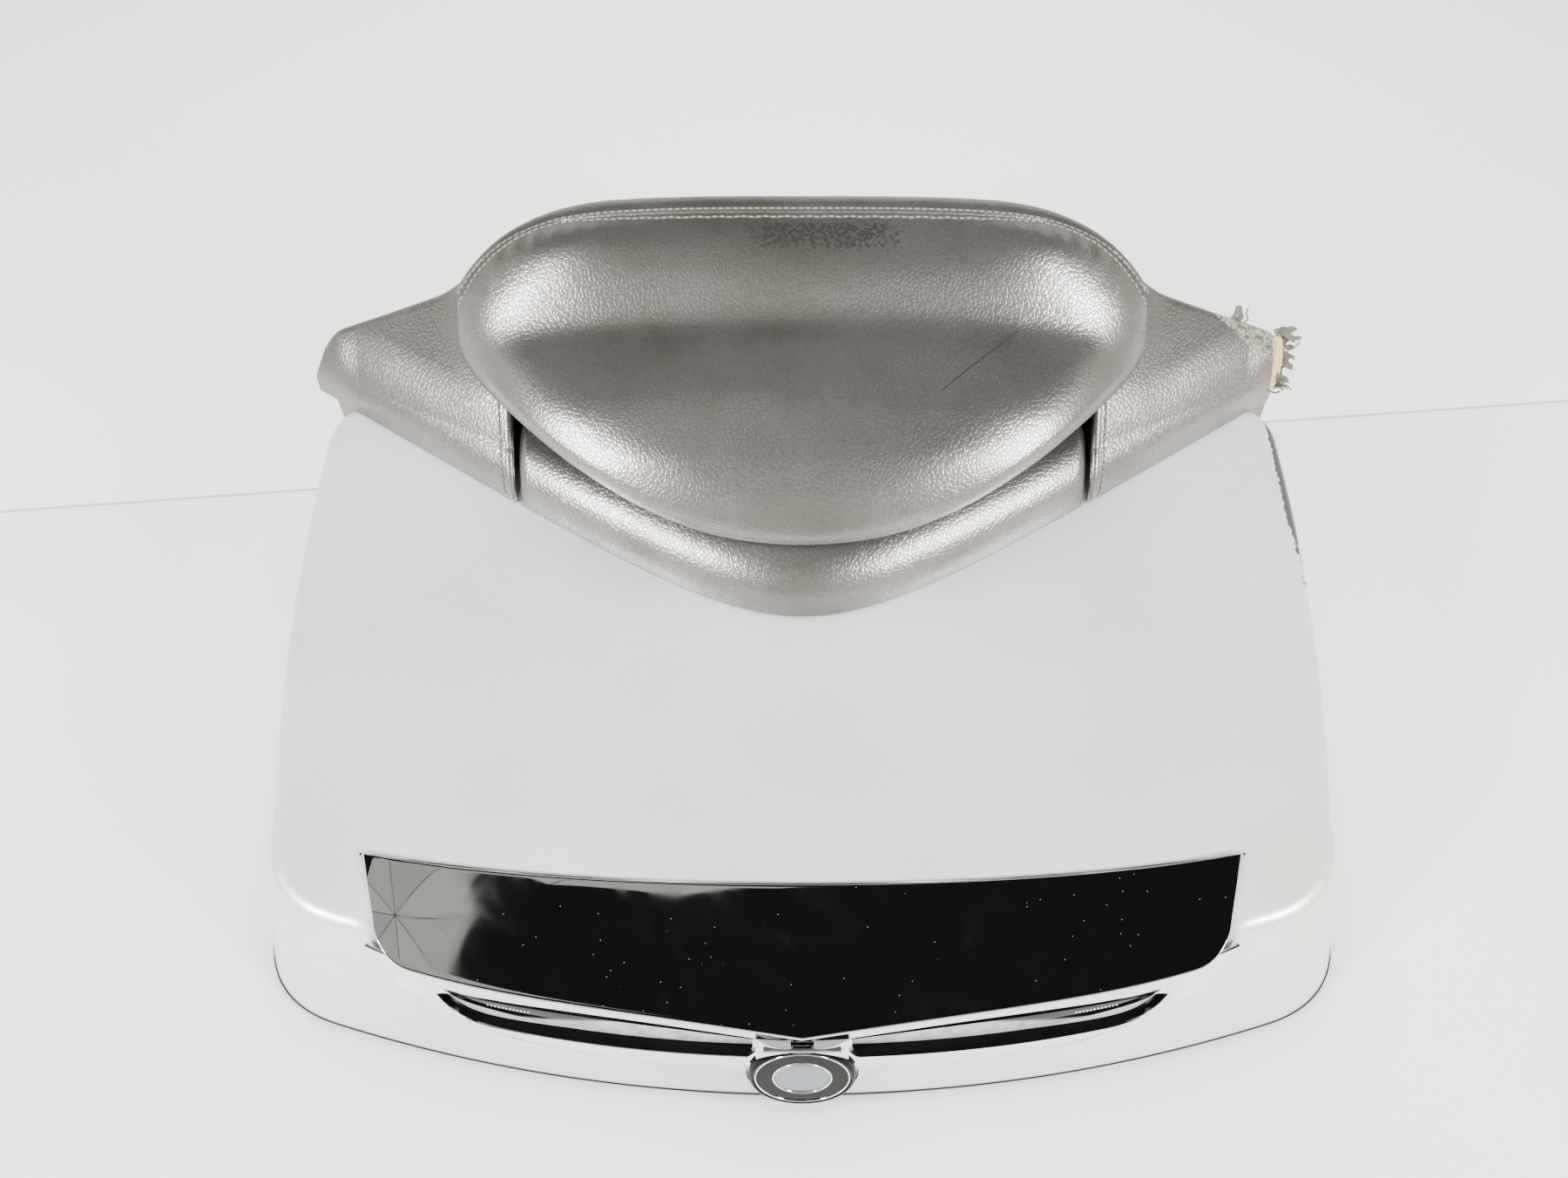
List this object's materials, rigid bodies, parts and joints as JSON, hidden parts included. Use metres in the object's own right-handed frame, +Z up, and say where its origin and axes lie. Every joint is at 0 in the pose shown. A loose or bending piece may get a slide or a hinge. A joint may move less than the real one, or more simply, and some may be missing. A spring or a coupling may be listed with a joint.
{
  "type": "motorcycle top case",
  "caption": "Motorcycle top case: deep painted lid hinged at the front on a shallow pan, padded passenger backrest, bright rear trim with lamp slots and a flip-up lock cover.",
  "frame": {"origin": "middle of the pan's flat underside, where the case stands on its rack", "axes": "+X to the case's right as seen from behind, +Y forward towards the backrest, +Z up"},
  "size_m": [0.6534, 0.4577, 0.3014],
  "materials": {
    "silver_paint": "gloss silver metallic paint",
    "chrome": "polished",
    "pearl_vinyl": "satin pearl-grey grained vinyl over foam",
    "black_plastic": "satin",
    "rubber": "matte",
    "needle_felt": "matte",
    "clear_lens": "gloss",
    "circuit_board": "satin",
    "brass": "satin",
    "zinc_steel": "satin"
  },
  "bodies": {
    "base": {"base_pan": "black_plastic", "base_seal": "rubber", "floor_mat": "needle_felt", "mount_insert_rear_left": "brass", "mount_insert_rear_right": "brass", "mount_insert_front_left": "brass", "mount_insert_front_right": "brass", "hinge_base_leaf_left": "zinc_steel", "hinge_base_leaf_right": "zinc_steel", "hinge_pin_left": "zinc_steel", "hinge_pin_right": "zinc_steel", "hinge_base_screw_left_a": "zinc_steel", "hinge_base_screw_left_b": "zinc_steel", "hinge_base_screw_right_a": "zinc_steel", "hinge_base_screw_right_b": "zinc_steel", "striker_bracket": "zinc_steel", "striker_pin": "zinc_steel", "striker_screw_left": "zinc_steel", "striker_screw_right": "zinc_steel"},
    "lid": {"lid_shell": "silver_paint", "trim_plate": "chrome", "trim_hood": "chrome", "lock_housing": "chrome", "badge_yoke": "chrome", "bolster_center": "pearl_vinyl", "bolster_left": "pearl_vinyl", "bolster_right": "pearl_vinyl", "backrest_pad": "pearl_vinyl", "backrest_front": "pearl_vinyl", "lamp_case_left": "black_plastic", "lamp_case_right": "black_plastic", "backrest_board": "black_plastic", "lid_liner": "needle_felt", "lamp_lens_left": "clear_lens", "lamp_lens_right": "clear_lens", "lamp_board_left": "circuit_board", "lamp_board_right": "circuit_board", "hinge_lid_leaf_left": "zinc_steel", "hinge_lid_leaf_right": "zinc_steel", "hinge_lid_screw_left_a": "zinc_steel", "hinge_lid_screw_left_b": "zinc_steel", "hinge_lid_screw_right_a": "zinc_steel", "hinge_lid_screw_right_b": "zinc_steel", "lock_nut": "zinc_steel", "badge_pin": "zinc_steel", "backrest_spacer_lower_left": "zinc_steel", "backrest_spacer_lower_right": "zinc_steel", "backrest_spacer_upper_left": "zinc_steel", "backrest_spacer_upper_right": "zinc_steel", "backrest_bolt_lower_left": "zinc_steel", "backrest_bolt_lower_right": "zinc_steel", "backrest_bolt_upper_left": "zinc_steel", "backrest_bolt_upper_right": "zinc_steel"},
    "badge": {"badge_cap": "black_plastic", "badge_ring": "chrome", "badge_face": "silver_paint"},
    "lock": {"lock_barrel": "zinc_steel", "latch_cam": "zinc_steel", "cam_nut": "zinc_steel"}
  },
  "joints": [
    {"name": "lid_hinge", "type": "hinge", "parent": "base", "child": "lid", "pos_m": [0, 0.209, 0.009], "axis": [-1, 0, 0], "range_deg": [0, 60]},
    {"name": "badge_flip", "type": "hinge", "parent": "lid", "child": "badge", "pos_m": [0, -0.1995, 0.0746], "axis": [-1, 0, 0], "range_deg": [0, 90]},
    {"name": "lock_turn", "type": "hinge", "parent": "lid", "child": "lock", "pos_m": [0, -0.2044, 0.043], "axis": [0, -0.9863, 0.165], "range_deg": [0, 90]}
  ]
}
